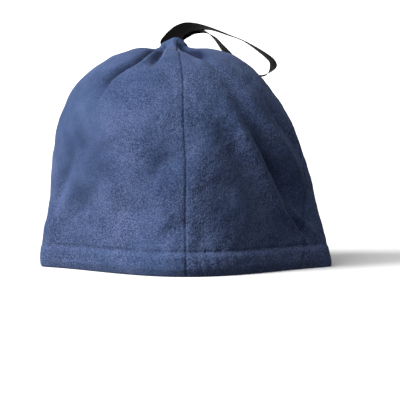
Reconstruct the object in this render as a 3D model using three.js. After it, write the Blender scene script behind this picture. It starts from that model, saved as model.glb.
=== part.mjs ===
// A four-gore fleece sauna hat that stands on its hem, with a ribbon loop sewn into the gathered tip.
// Millimetres, +Z up. The origin is under the middle of the hem. X runs between the hem's two corners,
// and -Y is the side of the front seam.

import * as THREE from "three";

// Driving dimensions
const HEM_WIDTH = 290; // between the hem's two corners
const HEM_DEPTH = 210; // from the front of the hem to the back
const CROWN_HEIGHT = 216; // the top of the puffed crown round the gathered tip
const TIP_HEIGHT = 226.5; // the highest point of the tip's rim
const TIP_X = -12.5; // the tip sits a little to the left of the hem's middle
const FLEECE = 2.6; // thickness of the outer cloth
const LINING = 1.0;
const HEM_HEIGHT = 23; // from the edge up to the line of stitches
const HEM_PADDING = 2.0; // how far the hem's second layer lifts it
const STITCH_DENT = 1.0;
const STITCH_WIDTH = 1.6; // half the width of that dent
const PADDING_START = { from: 1, to: 8 }; // heights between which the padding begins
const PADDING_END = { from: HEM_HEIGHT - 5, to: HEM_HEIGHT }; // and those between which it ends
const HEM_CORNER = { share: 0.3, from: 0.08, to: 0.5 }; // how flat the hem is where its sine is low
const LIP_HEIGHT = 7; // how far the outer cloth turns up inside
const LIP_THICKNESS = 4.4; // the turned edge, two layers pressed together
const EDGE_ROUND = 1.6; // how far the rounding of the hem's edge draws it in
const SEAM_GAP = 0.3; // between neighbouring gores
const LINING_GAP = 5.5; // between a gore and the lining that hangs inside it
const LINING_RAISE = 1.5; // from the top of the turned lip to the lining's edge, on its outer face
const LINING_DROP = 8; // how much lower the lining hangs under the creased crown
const LINING_CAP_DROP = 4; // and how much lower still in its middle
const RIBBON_WIDTH = 22;
const RIBBON_THICKNESS = 1.0;
const RIBBON_GAP = 0.3; // between the two ribbon ends, and from them to the cloth round them

const HEM_SIDE = HEM_WIDTH / 2; // how far the hem reaches from the origin to either side
const HEM_FRONT = HEM_DEPTH / 2; // and to the front and the back

// The tip's slot, which the two ribbon ends fill
const SLOT_HALF_WIDTH = RIBBON_WIDTH / 2 + 2.5 * RIBBON_GAP;
const SLOT_HALF_DEPTH = RIBBON_THICKNESS + 2.5 * RIBBON_GAP;
const SLOT_BOTTOM = CROWN_HEIGHT - 8;

// Sections of the outer surface from the hem to the tip. left, right, front and back are how far a section
// reaches from the origin. corner is how wide its two ends are rounded: a section whose corner equals its
// depth is an ellipse, and a smaller corner draws the ends to a point. droop is how much lower it lies in
// front and behind than at its ends.
const SECTIONS = [
  { height: 0, left: HEM_SIDE, right: HEM_SIDE, front: HEM_FRONT, back: HEM_FRONT, corner: 25, droop: 0 },
  { height: 24, left: 142, right: 139.5, front: 104, back: 104, corner: 30, droop: 0 },
  { height: 60, left: 136.5, right: 130, front: 101, back: 101, corner: 46, droop: 0 },
  { height: 100, left: 132.5, right: 121, front: 98, back: 98, corner: 70, droop: 0 },
  { height: 135, left: 128, right: 107.5, front: 92, back: 93, corner: 86, droop: 0 },
  { height: 165, left: 117, right: 92, front: 82, back: 84, corner: 82, droop: 0 },
  { height: 190, left: 98, right: 73, front: 68, back: 69, corner: 68, droop: 1 },
  { height: 205.5, left: 74.5, right: 54, front: 54, back: 54, corner: 54, droop: 3.5 },
  { height: 212.6, left: 57.5, right: 39.5, front: 45.5, back: 41, corner: 41, droop: 5 },
  { height: 215.6, left: 47, right: 26, front: 37, back: 28, corner: 28, droop: 3.5 },
  { height: CROWN_HEIGHT, left: 31.5, right: 7.5, front: 28, back: 18, corner: 16.5, droop: 1 },
  { height: 217.8, left: 27.8, right: 4.2, front: 20, back: 11, corner: 10.5, droop: 0 },
  { height: 221.8, left: 26.6, right: 2.6, front: 12.5, back: 7.4, corner: 7.4, droop: 0 },
  { height: TIP_HEIGHT, left: 26, right: 1, front: 5.8, back: 5, corner: 5, droop: 0 },
];
const CORNER_POWER = 4; // how sharply a pointed section swells away from its ends
const LAST_LEVEL = SECTIONS.length - 1;
const CROWN_LEVEL = 9; // the section at the top of the puffed crown
const FOOT_LEVEL = 10; // the section round the foot of the tip

// Seams by their angles round the hat in degrees, at every second section from the hem to the tip.
const SEAMS = [
  { name: "front", angles: [-89.6, -88.4, -85.4, -83.2, -84.9, -79, -70, -45] },
  { name: "right", angles: [-41, -25, -4, 2, 4, 6, 8, 8] },
  { name: "back", angles: [84, 87, 90, 92, 93, 94, 95, 95] },
  { name: "left", angles: [158, 165, 172, 176, 178, 180, 180, 180] },
];
const SEAM_GROOVE = { depth: 1.0, width: 1.8 };

// How much lower the tip's rim is than its highest point, at angles in degrees.
const RIM = [
  { angle: -180, drop: 9.1 },
  { angle: -160, drop: 8.3 },
  { angle: -142, drop: 5.9 },
  { angle: -120, drop: 2.7 },
  { angle: -98, drop: 0.6 },
  { angle: -78, drop: 0 },
  { angle: -60, drop: 1.9 },
  { angle: -42, drop: 4.3 },
  { angle: -20, drop: 7.3 },
  { angle: 10, drop: 8.3 },
  { angle: 90, drop: 6.7 },
  { angle: 150, drop: 8.1 },
  { angle: 180, drop: 9.1 },
];

// Long soft folds down the sides. A fold is a valley, or a ridge where its depth is negative. angle is where
// it lies at its middle height and lean how far it turns for each millimetre up. left and right are its half
// widths in degrees, seen from outside, and reach its half length up the side.
const FOLDS = [
  { name: "right valley", angle: -43, lean: -0.17, height: 112, left: 6, right: 8.5, reach: 58, depth: 10 },
  { name: "right ridge", angle: -51.5, lean: -0.17, height: 98, left: 5, right: 5, reach: 46, depth: -3 },
  { name: "inner valley", angle: -60, lean: -0.135, height: 90, left: 6, right: 6, reach: 42, depth: 4.4 },
  { name: "far ridge", angle: -32.5, lean: -0.27, height: 118, left: 5, right: 5, reach: 38, depth: -2.6 },
  { name: "far valley", angle: -22, lean: -0.25, height: 138, left: 6, right: 7, reach: 30, depth: 5 },
  { name: "left valley", angle: -153, lean: 0.28, height: 84, left: 5, right: 5.5, reach: 30, depth: 3.4 },
  { name: "left ridge", angle: -142, lean: 0.3, height: 83, left: 6, right: 6, reach: 30, depth: -3 },
  { name: "left hollow", angle: -131, lean: 0.34, height: 70, left: 6.5, right: 6.5, reach: 26, depth: 3.2 },
  { name: "left dent", angle: -118, lean: 0.12, height: 118, left: 9, right: 9, reach: 18, depth: 2.4 },
  { name: "upper seam dent", angle: -97, lean: 0.2, height: 104, left: 4.5, right: 8, reach: 12, depth: 3.4 },
  { name: "lower seam dent", angle: -94.5, lean: 0.2, height: 42, left: 4, right: 7, reach: 10, depth: 3.2 },
  { name: "back valley", angle: 62, lean: 0.2, height: 88, left: 8, right: 8, reach: 44, depth: 4.6 },
  { name: "back ridge", angle: 72, lean: 0.2, height: 84, left: 6, right: 6, reach: 38, depth: -2 },
  { name: "back hollow", angle: 118, lean: -0.15, height: 104, left: 9, right: 9, reach: 36, depth: 4.2 },
  { name: "back right valley", angle: 30, lean: 0.3, height: 74, left: 6, right: 6, reach: 34, depth: 3.6 },
  { name: "back left hollow", angle: 140, lean: 0.1, height: 60, left: 7, right: 7, reach: 30, depth: 2.4 },
];
const FOLD_START = { from: 0, to: 20 }; // heights between which the folds deepen
const FOLD_END = { from: CROWN_LEVEL - 2, to: CROWN_LEVEL }; // levels between which they end

// The lining's one wide hollow, which takes the place of the folds on the right. width is its half width.
const LINING_HOLLOW = { angle: -40, lean: -0.2, height: 108, width: 27, reach: 76, depth: 11 };
const LINING_DROP_START = { from: CROWN_LEVEL - 3, to: CROWN_LEVEL - 1 };

// Creases in the crown that run out from the foot of the tip. angle is a crease's direction from the tip
// where it starts, seen from above, bend how far it turns further out, and left and right its half widths,
// seen from the tip.
const CREASES = [
  { name: "front left", angle: -139, bend: 15, length: 92, left: 7, right: 8, depth: 7.5 },
  { name: "front middle", angle: -115, bend: 0, length: 66, left: 5, right: 5, depth: 2.6 },
  { name: "front right", angle: -38, bend: -11, length: 68, left: 6.5, right: 6, depth: 8 },
  { name: "right", angle: 16, bend: 4, length: 46, left: 5.5, right: 5.5, depth: 2 },
  { name: "back right", angle: 40, bend: 10, length: 72, left: 6, right: 8, depth: 6 },
  { name: "back", angle: 84, bend: -6, length: 40, left: 5, right: 5, depth: 3 },
  { name: "back left", angle: 134, bend: 14, length: 76, left: 8, right: 6, depth: 6 },
  { name: "left", angle: 170, bend: -6, length: 44, left: 5, right: 5, depth: 2 },
];
const CREASE_BEND = { from: 8, to: 42 }; // distances from the tip between which a crease turns
const CREASE_START = { from: 4, to: 26 }; // distances from the tip between which it deepens
const CREASE_HOLD = 0.4; // the share of its length along which it keeps its depth
const CREASE_END = { from: FOOT_LEVEL + 1, to: LAST_LEVEL - 0.5 }; // levels between which it ends on the tip
const CLOSING = { from: CROWN_LEVEL + 0.3, to: FOOT_LEVEL + 0.2 }; // levels between which the gores close

// Rows of the gores: heights up the hem and sides, then levels over the crown and up the tip.
const HEM_ROWS = [0, 2.4, LIP_HEIGHT, LIP_HEIGHT + 0.3, 15, HEM_HEIGHT - 2.5, HEM_HEIGHT, HEM_HEIGHT + 2.5];
const SIDE_ROWS = [36, 50, 66, 83, 100, 117, 133, 148, 162, 175, 187, 198];
const CROWN_ROWS = [7, 7.5, 8, 8.5, 9, 9.4, 9.8, 10.2, 10.6, 11.2, 12, 12.6, LAST_LEVEL];
const LINING_ROWS = [LIP_HEIGHT + LINING_RAISE, 15, HEM_HEIGHT, 50, 83, 117, 148, 175, 198];
const LINING_TOP_LEVELS = [7, 7.5, 8];

// The gores, each from its seam to the next, and its number of columns between the ones beside its seams.
// Where a gore follows a fold, its middle column runs along that fold.
const GORES = [
  { name: "gore_front_right", columns: 20, follows: "right valley" },
  { name: "gore_back_right", columns: 8 },
  { name: "gore_back_left", columns: 8 },
  { name: "gore_front_left", columns: 10 },
];
const MIDDLE_SHARE = { min: 0.25, max: 0.75 };
const SEAM_COLUMNS = [SEAM_GAP / 2, 1.8, 5]; // distances from the seam
const TIP_SPREAD = 3; // how many times wider the gap between gores is where it narrows into the tip

const radians = THREE.MathUtils.degToRad;
const bump = (t) => Math.exp(-t * t);
const rampUp = (value, range) => THREE.MathUtils.smoothstep(value, range.from, range.to);
const rampDown = (value, range) => 1 - rampUp(value, range);

// A list of values read at any place between its numbered entries, on a Catmull-Rom curve.
function along(values, place) {
  const last = values.length - 1;
  const row = THREE.MathUtils.clamp(Math.floor(place), 0, last - 1);
  const value = (i) => values[THREE.MathUtils.clamp(i, 0, last)];
  const [before, from, to, after] = [row - 1, row, row + 1, row + 2].map(value);
  const t = place - row;
  const slopeFrom = (to - before) / 2;
  const slopeTo = (after - from) / 2;
  const span = to - from;
  return (
    from +
    slopeFrom * t +
    (3 * span - 2 * slopeFrom - slopeTo) * t * t +
    (slopeFrom + slopeTo - 2 * span) * t * t * t
  );
}

// A column of the table SECTIONS at any level between its rows.
function column(name, level) {
  return along(
    SECTIONS.map((section) => section[name]),
    level,
  );
}

// The level whose section lies at a height below the crown's top, found by halving.
function levelAt(height) {
  let low = 0;
  let high = CROWN_LEVEL - 1;
  for (let i = 0; i < 40; i++) {
    const middle = (low + high) / 2;
    if (column("height", middle) < height) low = middle;
    else high = middle;
  }
  return (low + high) / 2;
}

// The smooth outer surface, before hem and folds: an ellipse whose ends are drawn to a point near the hem.
function basePoint(angle, level) {
  const left = column("left", level);
  const right = column("right", level);
  const corner = column("corner", level);
  const sine = Math.sin(angle);
  const depth = column(sine < 0 ? "front" : "back", level);
  const swell = Math.sign(sine) * Math.abs(sine) ** CORNER_POWER;
  return new THREE.Vector3(
    (right - left) / 2 + ((right + left) / 2) * Math.cos(angle),
    corner * sine + (depth - corner) * swell,
    column("height", level) - column("droop", level) * sine * sine,
  );
}

// The direction out of the cloth: square to the line that runs up the hat, in the upright plane of
// the angle.
function outward(angle, level) {
  const step = 0.02;
  const below = basePoint(angle, Math.max(0, level - step));
  const above = basePoint(angle, Math.min(LAST_LEVEL, level + step));
  const run = above.sub(below);
  const levelRun = run.x * Math.cos(angle) + run.y * Math.sin(angle);
  return new THREE.Vector3(
    Math.cos(angle) * run.z,
    Math.sin(angle) * run.z,
    -levelRun,
  ).normalize();
}

// The turn from one angle to another in degrees, between -180 and 180.
function turn(from, to) {
  return THREE.MathUtils.euclideanModulo(to - from + 180, 360) - 180;
}

// How far the long folds draw the sides in.
function foldDepth(angle, level, point) {
  const side = rampUp(point.z, FOLD_START) * rampDown(level, FOLD_END);
  const degrees = THREE.MathUtils.radToDeg(angle);
  return FOLDS.reduce((sum, fold) => {
    const rise = point.z - fold.height;
    const aside = turn(fold.angle + fold.lean * rise, degrees);
    const width = aside < 0 ? fold.left : fold.right;
    return sum + side * fold.depth * bump(aside / width) * bump(rise / fold.reach);
  }, 0);
}

// How far the creases round the tip's foot draw the crown in.
function creaseDepth(level, point) {
  const top = rampDown(level, CREASE_END);
  const fromTip = Math.hypot(point.x - TIP_X, point.y);
  const bearing = THREE.MathUtils.radToDeg(Math.atan2(point.y, point.x - TIP_X));
  return CREASES.reduce((sum, crease) => {
    const way = crease.angle + crease.bend * rampUp(fromTip, CREASE_BEND);
    const aside = radians(turn(way, bearing));
    const out = fromTip * Math.cos(aside);
    const across = fromTip * Math.sin(aside);
    const width = across > 0 ? crease.left : crease.right;
    const start = rampUp(out, CREASE_START);
    const end = rampDown(out, { from: crease.length * CREASE_HOLD, to: crease.length });
    return sum + top * crease.depth * bump(across / width) * start * end;
  }, 0);
}

// How far the hem's two layers stand out, less the dent of its line of stitches. Both are less near the
// hem's two corners.
function hemRelief(angle, level, point) {
  if (level > CROWN_LEVEL) return 0;
  const awayFromCorner = rampUp(Math.abs(Math.sin(angle)), HEM_CORNER);
  const plump = THREE.MathUtils.lerp(HEM_CORNER.share, 1, awayFromCorner);
  const padding = rampUp(point.z, PADDING_START) * rampDown(point.z, PADDING_END);
  const dent = STITCH_DENT * bump((point.z - HEM_HEIGHT) / STITCH_WIDTH);
  return plump * (HEM_PADDING * padding - dent);
}

// How far the cloth stands out from the smooth surface.
function relief(angle, level) {
  const point = basePoint(angle, level);
  return hemRelief(angle, level, point) - foldDepth(angle, level, point) - creaseDepth(level, point);
}

// A point of the cloth at a depth below its outer face.
function clothPoint(angle, level, depth, groove = 0) {
  const out = relief(angle, level) - groove - depth;
  return basePoint(angle, level).addScaledVector(outward(angle, level), out);
}

// How much lower the tip's rim is than its highest point, read between the rows of RIM.
function rimDrop(angle) {
  const degrees = turn(0, THREE.MathUtils.radToDeg(angle));
  const next = Math.max(
    1,
    RIM.findIndex((row) => row.angle >= degrees),
  );
  const [from, to] = [RIM[next - 1], RIM[next]];
  return THREE.MathUtils.mapLinear(degrees, from.angle, to.angle, from.drop, to.drop);
}

// The outer face of a gore. The hem's lower edge is rounded, and lies flat on the level it stands on. The
// tip is lowered to its uneven rim, more and more from its foot up.
function outerPoint(angle, level, groove) {
  if (level === 0) return clothPoint(angle, level, EDGE_ROUND, groove).setZ(0);
  const point = clothPoint(angle, level, 0, groove);
  if (level > FOOT_LEVEL) {
    const share = (column("height", level) - CROWN_HEIGHT) / (TIP_HEIGHT - CROWN_HEIGHT);
    point.z -= share * rimDrop(angle);
  }
  return point;
}

// A point on the wall of the slot that holds the ribbon ends, which is a rectangle seen from above.
function slotPoint(angle, height) {
  const across = THREE.MathUtils.clamp(Math.SQRT2 * Math.cos(angle), -1, 1);
  const deep = THREE.MathUtils.clamp(Math.SQRT2 * Math.sin(angle), -1, 1);
  return new THREE.Vector3(TIP_X + SLOT_HALF_WIDTH * across, SLOT_HALF_DEPTH * deep, height);
}

// The inner face of a gore: the turned lip at the hem, one layer of cloth above it, and the slot in the tip.
function innerPoint(angle, level) {
  const point = clothPoint(angle, level, FLEECE);
  if (level < 1) {
    const lip = clothPoint(angle, level, LIP_THICKNESS);
    const height = column("height", level);
    return height <= LIP_HEIGHT ? lip.setZ(Math.max(height, 0)) : point;
  }
  const closing = rampUp(level, CLOSING);
  const climb = rampUp(level, { from: CLOSING.to, to: LAST_LEVEL });
  const height = THREE.MathUtils.lerp(SLOT_BOTTOM, TIP_HEIGHT - rimDrop(angle), climb);
  return point.lerp(slotPoint(angle, height), closing);
}

// Where a seam lies at a level, in radians.
function seamAngle(seam, level) {
  return radians(along(seam.angles, level / 2));
}

// The share of a gore's width at which its middle column lies at a level: half, or where its fold is.
function middleShare(gore, level, first, last) {
  const fold = FOLDS.find((row) => row.name === GORES[gore].follows);
  if (!fold) return 0.5;
  const angle = fold.angle + fold.lean * (column("height", level) - fold.height);
  const share = (radians(angle) - first) / (last - first);
  return THREE.MathUtils.clamp(share, MIDDLE_SHARE.min, MIDDLE_SHARE.max);
}

// The angles of a gore's columns at a level: a few close to each seam, and even steps from there to the
// middle column.
function columnAngles(gore, level, besideSeams) {
  const start = seamAngle(SEAMS[gore], level);
  let end = seamAngle(SEAMS[(gore + 1) % SEAMS.length], level);
  if (end < start) end += 2 * Math.PI;
  const step = 0.01;
  const speed = (angle) =>
    basePoint(angle + step, level).distanceTo(basePoint(angle - step, level)) / (2 * step);
  const inset = SEAM_COLUMNS.at(-1);
  const spread = 1 + (TIP_SPREAD - 1) * rampUp(level, { from: CROWN_LEVEL, to: FOOT_LEVEL });
  const first = start + inset / speed(start);
  const last = end - inset / speed(end);
  const half = GORES[gore].columns / 2;
  const middle = THREE.MathUtils.lerp(first, last, middleShare(gore, level, first, last));
  const between = Array.from({ length: 2 * half + 1 }, (_, i) =>
    i < half
      ? THREE.MathUtils.lerp(first, middle, i / half)
      : THREE.MathUtils.lerp(middle, last, (i - half) / half),
  );
  if (!besideSeams) return between;
  const near = [SEAM_COLUMNS[0] * spread, SEAM_COLUMNS[1]];
  return [
    ...near.map((distance) => start + distance / speed(start)),
    ...between,
    ...near.map((distance) => end - distance / speed(end)).reverse(),
  ];
}

// A closed body from two grids of points, [column][row], that share their edges' shape. closed joins
// the last column to the first, and capped draws the last row to one point.
function shellGeometry(outer, inner, closed, capped) {
  const positions = [];
  const columns = outer.length;
  const rows = outer[0].length;
  const at = (grid, column, row) => grid[column % columns][row];
  const triangle = (...corners) => corners.forEach((corner) => positions.push(...corner.toArray()));
  const quad = (a, b, c, d) => {
    triangle(a, b, c);
    triangle(a, c, d);
  };
  const spans = closed ? columns : columns - 1;
  for (let i = 0; i < spans; i++) {
    for (let j = 0; j < rows - 1; j++) {
      quad(at(outer, i, j), at(outer, i + 1, j), at(outer, i + 1, j + 1), at(outer, i, j + 1));
      quad(at(inner, i, j), at(inner, i, j + 1), at(inner, i + 1, j + 1), at(inner, i + 1, j));
    }
    quad(at(inner, i, 0), at(inner, i + 1, 0), at(outer, i + 1, 0), at(outer, i, 0));
    if (capped) {
      triangle(at(outer, i, rows - 1), at(outer, i + 1, rows - 1), capped.outer);
      triangle(at(inner, i + 1, rows - 1), at(inner, i, rows - 1), capped.inner);
    } else {
      const last = rows - 1;
      quad(at(outer, i, last), at(outer, i + 1, last), at(inner, i + 1, last), at(inner, i, last));
    }
  }
  if (!closed) {
    const end = columns - 1;
    for (let j = 0; j < rows - 1; j++) {
      quad(inner[0][j], outer[0][j], outer[0][j + 1], inner[0][j + 1]);
      quad(inner[end][j], inner[end][j + 1], outer[end][j + 1], outer[end][j]);
    }
  }
  return geometryOf(positions);
}

function geometryOf(positions) {
  const geometry = new THREE.BufferGeometry();
  geometry.setAttribute("position", new THREE.Float32BufferAttribute(positions, 3));
  geometry.computeVertexNormals();
  return geometry;
}

// One gore: a quarter of the outer cloth between two seams, with its turned hem.
function goreGeometry(gore) {
  const levels = [...HEM_ROWS, ...SIDE_ROWS].map(levelAt).concat(CROWN_ROWS);
  levels[0] = 0;
  const count = GORES[gore].columns + 1 + 2 * (SEAM_COLUMNS.length - 1);
  const outer = Array.from({ length: count }, () => []);
  const inner = Array.from({ length: count }, () => []);
  for (const level of levels) {
    columnAngles(gore, level, true).forEach((angle, i) => {
      const fromSeam = SEAM_COLUMNS[Math.min(i, count - 1 - i)] ?? Infinity;
      const groove = SEAM_GROOVE.depth * bump(fromSeam / SEAM_GROOVE.width);
      outer[i].push(outerPoint(angle, level, groove));
      inner[i].push(innerPoint(angle, level));
    });
  }
  return shellGeometry(outer, inner, false, null);
}

// A point of the lining's edge, close under the gore at the top of the lip.
function liningEdgePoint(angle, level, depth) {
  return clothPoint(angle, level, FLEECE + SEAM_GAP + depth);
}

// A point of the lining above its edge. It hangs free of the gores and crosses their folds and creases in
// one wide hollow on the right, and in a drop under the crown.
function liningPoint(angle, level, depth) {
  const point = basePoint(angle, level);
  const rise = point.z - LINING_HOLLOW.height;
  const aside = turn(LINING_HOLLOW.angle + LINING_HOLLOW.lean * rise, THREE.MathUtils.radToDeg(angle));
  const hollow = LINING_HOLLOW.depth * bump(aside / LINING_HOLLOW.width) * bump(rise / LINING_HOLLOW.reach);
  const drop = LINING_DROP * rampUp(level, LINING_DROP_START);
  return point.addScaledVector(outward(angle, level), -(FLEECE + LINING_GAP + hollow + drop + depth));
}

// The lining: a thin bag that hangs inside the gores from the top of the hem's lip.
function liningGeometry() {
  const levels = LINING_ROWS.map(levelAt).concat(LINING_TOP_LEVELS);
  const outer = [];
  const inner = [];
  levels.forEach((level, row) => {
    const place = row === 0 ? liningEdgePoint : liningPoint;
    const angles = GORES.flatMap((_, gore) => columnAngles(gore, level, false));
    angles.forEach((angle, i) => {
      (outer[i] ??= []).push(place(angle, level, 0));
      (inner[i] ??= []).push(place(angle, level, LINING));
    });
  });
  const top = new THREE.Vector3(TIP_X, 0, outer[0].at(-1).z - LINING_CAP_DROP);
  const cap = { outer: top, inner: top.clone().setZ(top.z - LINING) };
  return shellGeometry(outer, inner, true, cap);
}

// Sections of the ribbon from one end in the slot, over the crown to the far bend of the loop and back.
// x, y and z are the middle of its width. heading is the direction of its width seen from above and dip
// how far that drops below level, both in degrees.
const RIBBON_SECTIONS = [
  { name: "first end", x: -12.5, y: -0.65, z: 211, heading: 0, dip: 0 },
  { name: "first rim", x: -12.5, y: -0.65, z: 218.6, heading: 0, dip: 0 },
  { name: "first lean", x: -12.4, y: 0.9, z: 222.6, heading: -6, dip: 1 },
  { name: "first turn", x: -11, y: 3.4, z: 225.6, heading: -27, dip: 7 },
  { name: "first rise", x: -8, y: 6, z: 229.2, heading: -44, dip: 17 },
  { name: "first climb", x: -4, y: 7.8, z: 232.7, heading: -55, dip: 25 },
  { name: "first crest", x: 2, y: 9.4, z: 235.5, heading: -69, dip: 28 },
  { name: "first slope", x: 9.2, y: 10.8, z: 236.2, heading: -82, dip: 24 },
  { name: "parting", x: 17.7, y: 12.6, z: 235.4, heading: -92, dip: 15 },
  { name: "upper start", x: 28, y: 15, z: 234.2, heading: -100, dip: 6 },
  { name: "upper middle", x: 42, y: 19, z: 230.4, heading: -102, dip: 2 },
  { name: "upper slope", x: 60, y: 24.5, z: 223.5, heading: -102, dip: 0 },
  { name: "upper end", x: 82.5, y: 33, z: 208.5, heading: -105, dip: 7 },
  { name: "far bend", x: 88, y: 36, z: 200.5, heading: -111, dip: 3 },
  { name: "under bend", x: 84.5, y: 38, z: 193, heading: -106, dip: 10 },
  { name: "lower end", x: 75, y: 40, z: 189.8, heading: -96, dip: 5 },
  { name: "lower slope", x: 61, y: 41, z: 194.5, heading: -85, dip: 0 },
  { name: "lower middle", x: 50, y: 38, z: 203, heading: -78, dip: -8 },
  { name: "lower climb", x: 42.5, y: 33.5, z: 210, heading: -76, dip: -12 },
  { name: "lower start", x: 35.5, y: 28.5, z: 218, heading: -80, dip: -10 },
  { name: "rejoining", x: 29, y: 22.6, z: 226, heading: -86, dip: -4 },
  { name: "second slope", x: 20.6, y: 17.8, z: 231, heading: -91, dip: 6 },
  { name: "second crest", x: 12, y: 14.4, z: 233, heading: -84, dip: 20 },
  { name: "second fall", x: 4.2, y: 12.4, z: 232.6, heading: -69, dip: 27 },
  { name: "second descent", x: -2.4, y: 10.4, z: 230, heading: -55, dip: 25 },
  { name: "second drop", x: -6.8, y: 8.4, z: 227, heading: -42, dip: 17 },
  { name: "second turn", x: -10.2, y: 5.6, z: 224.4, heading: -27, dip: 7 },
  { name: "second lean", x: -12.2, y: 2.6, z: 222.4, heading: -6, dip: 1 },
  { name: "second rim", x: -12.5, y: 0.65, z: 218.9, heading: 0, dip: 0 },
  { name: "second end", x: -12.5, y: 0.65, z: 211, heading: 0, dip: 0 },
];
const RIBBON_STEPS = 96;

function widthDirection(section) {
  const level = Math.cos(radians(section.dip));
  return new THREE.Vector3(
    level * Math.cos(radians(section.heading)),
    level * Math.sin(radians(section.heading)),
    -Math.sin(radians(section.dip)),
  );
}

// The ribbon as a rectangle carried along its path, turning with the direction of its width.
function ribbonGeometry() {
  const path = new THREE.CatmullRomCurve3(
    RIBBON_SECTIONS.map((section) => new THREE.Vector3(section.x, section.y, section.z)),
    false,
    "centripetal",
  );
  const widths = new THREE.CatmullRomCurve3(
    RIBBON_SECTIONS.map((section) => widthDirection(section)),
    false,
    "catmullrom",
  );
  const rings = [];
  for (let i = 0; i <= RIBBON_STEPS; i++) {
    const share = i / RIBBON_STEPS;
    const centre = path.getPoint(share);
    const along = path.getTangent(share);
    const across = widths.getPoint(share).normalize();
    const face = new THREE.Vector3().crossVectors(along, across).normalize();
    const corner = (side, layer) =>
      centre
        .clone()
        .addScaledVector(across, (side * RIBBON_WIDTH) / 2)
        .addScaledVector(face, (layer * RIBBON_THICKNESS) / 2);
    rings.push([corner(-1, -1), corner(1, -1), corner(1, 1), corner(-1, 1)]);
  }
  const positions = [];
  const quad = (a, b, c, d) => {
    for (const corner of [a, b, c, a, c, d]) positions.push(...corner.toArray());
  };
  for (let i = 0; i < RIBBON_STEPS; i++) {
    for (let k = 0; k < 4; k++) {
      const next = (k + 1) % 4;
      quad(rings[i][k], rings[i][next], rings[i + 1][next], rings[i + 1][k]);
    }
  }
  const [first, last] = [rings[0], rings[RIBBON_STEPS]];
  quad(first[3], first[2], first[1], first[0]);
  quad(last[0], last[1], last[2], last[3]);
  return geometryOf(positions);
}

const fleece = new THREE.MeshStandardMaterial({ color: 0x4d5f91, roughness: 0.95, metalness: 0 });
const liningCloth = new THREE.MeshStandardMaterial({ color: 0x14151b, roughness: 0.8, metalness: 0 });
const satin = new THREE.MeshStandardMaterial({ color: 0x111113, roughness: 0.45, metalness: 0 });

const hat = new THREE.Group();

function add(name, geometry, material) {
  const mesh = new THREE.Mesh(geometry, material);
  mesh.name = name;
  hat.add(mesh);
}

GORES.forEach((gore, i) => add(gore.name, goreGeometry(i), fleece));
add("lining", liningGeometry(), liningCloth);
add("ribbon_loop", ribbonGeometry(), satin);

export default hat;
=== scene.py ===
"""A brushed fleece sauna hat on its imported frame: four gores, a dark lining and a satin ribbon loop.

Tables and shapes are in millimetres, with X between the hem's two corners, -Y towards the front seam and
+Z up. The meshes are made in metres.
"""

import logging
import math
from dataclasses import astuple, dataclass
from enum import Enum

import bpy
import numpy as np
from bpy.types import ID, Material, Node, NodeSocket, NodeTree, Object
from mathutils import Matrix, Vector


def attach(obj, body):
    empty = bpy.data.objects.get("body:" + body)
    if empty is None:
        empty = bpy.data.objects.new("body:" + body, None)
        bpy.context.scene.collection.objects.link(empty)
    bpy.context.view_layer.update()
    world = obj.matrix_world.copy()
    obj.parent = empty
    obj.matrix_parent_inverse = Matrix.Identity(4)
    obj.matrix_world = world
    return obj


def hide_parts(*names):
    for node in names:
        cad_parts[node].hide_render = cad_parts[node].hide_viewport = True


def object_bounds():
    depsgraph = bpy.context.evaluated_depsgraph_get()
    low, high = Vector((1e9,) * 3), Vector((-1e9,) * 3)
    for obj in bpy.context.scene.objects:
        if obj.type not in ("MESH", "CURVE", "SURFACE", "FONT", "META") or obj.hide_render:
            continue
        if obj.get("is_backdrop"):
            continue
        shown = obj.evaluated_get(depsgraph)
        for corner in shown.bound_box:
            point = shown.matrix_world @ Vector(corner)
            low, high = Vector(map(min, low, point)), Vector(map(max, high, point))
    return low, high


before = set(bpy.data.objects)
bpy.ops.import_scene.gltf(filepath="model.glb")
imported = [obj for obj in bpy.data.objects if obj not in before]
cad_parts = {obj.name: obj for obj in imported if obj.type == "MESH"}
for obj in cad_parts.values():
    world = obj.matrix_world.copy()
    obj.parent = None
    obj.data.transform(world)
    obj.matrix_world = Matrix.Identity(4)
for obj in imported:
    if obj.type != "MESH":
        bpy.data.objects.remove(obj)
CAD_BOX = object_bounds()

LOG = logging.getLogger("sauna_hat")
MM = 0.001
Array = np.ndarray


# Sizes and tables of the hat


@dataclass(frozen=True)
class Section:
    """A section of the outer cloth.

    left, right, front and back are how far it reaches from the origin. corner is how wide its two ends are
    rounded: an ellipse where it equals the depth, and drawn to a point where it is smaller. droop is how
    much lower the section lies in front and behind than at its ends.
    """

    height: float
    left: float
    right: float
    front: float
    back: float
    corner: float
    droop: float = 0.0


@dataclass(frozen=True)
class Fold:
    """A long soft valley in the side of the hat, or a ridge where depth is negative.

    angle is where it lies at its middle height and lean how far it turns for each millimetre up. left and
    right are its half widths in degrees, seen from outside, and reach its half length.
    """

    angle: float
    lean: float
    height: float
    left: float
    right: float
    reach: float
    depth: float

    def at(self, degrees: Array, height: Array) -> Array:
        """How deep the fold is at an angle and a height: a hill across it times a hill along it."""
        rise = height - self.height
        aside = turn(self.angle, degrees - self.lean * rise)
        width = np.where(aside < 0, self.left, self.right)
        return self.depth * bump(aside / width) * bump(rise / self.reach)


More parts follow.
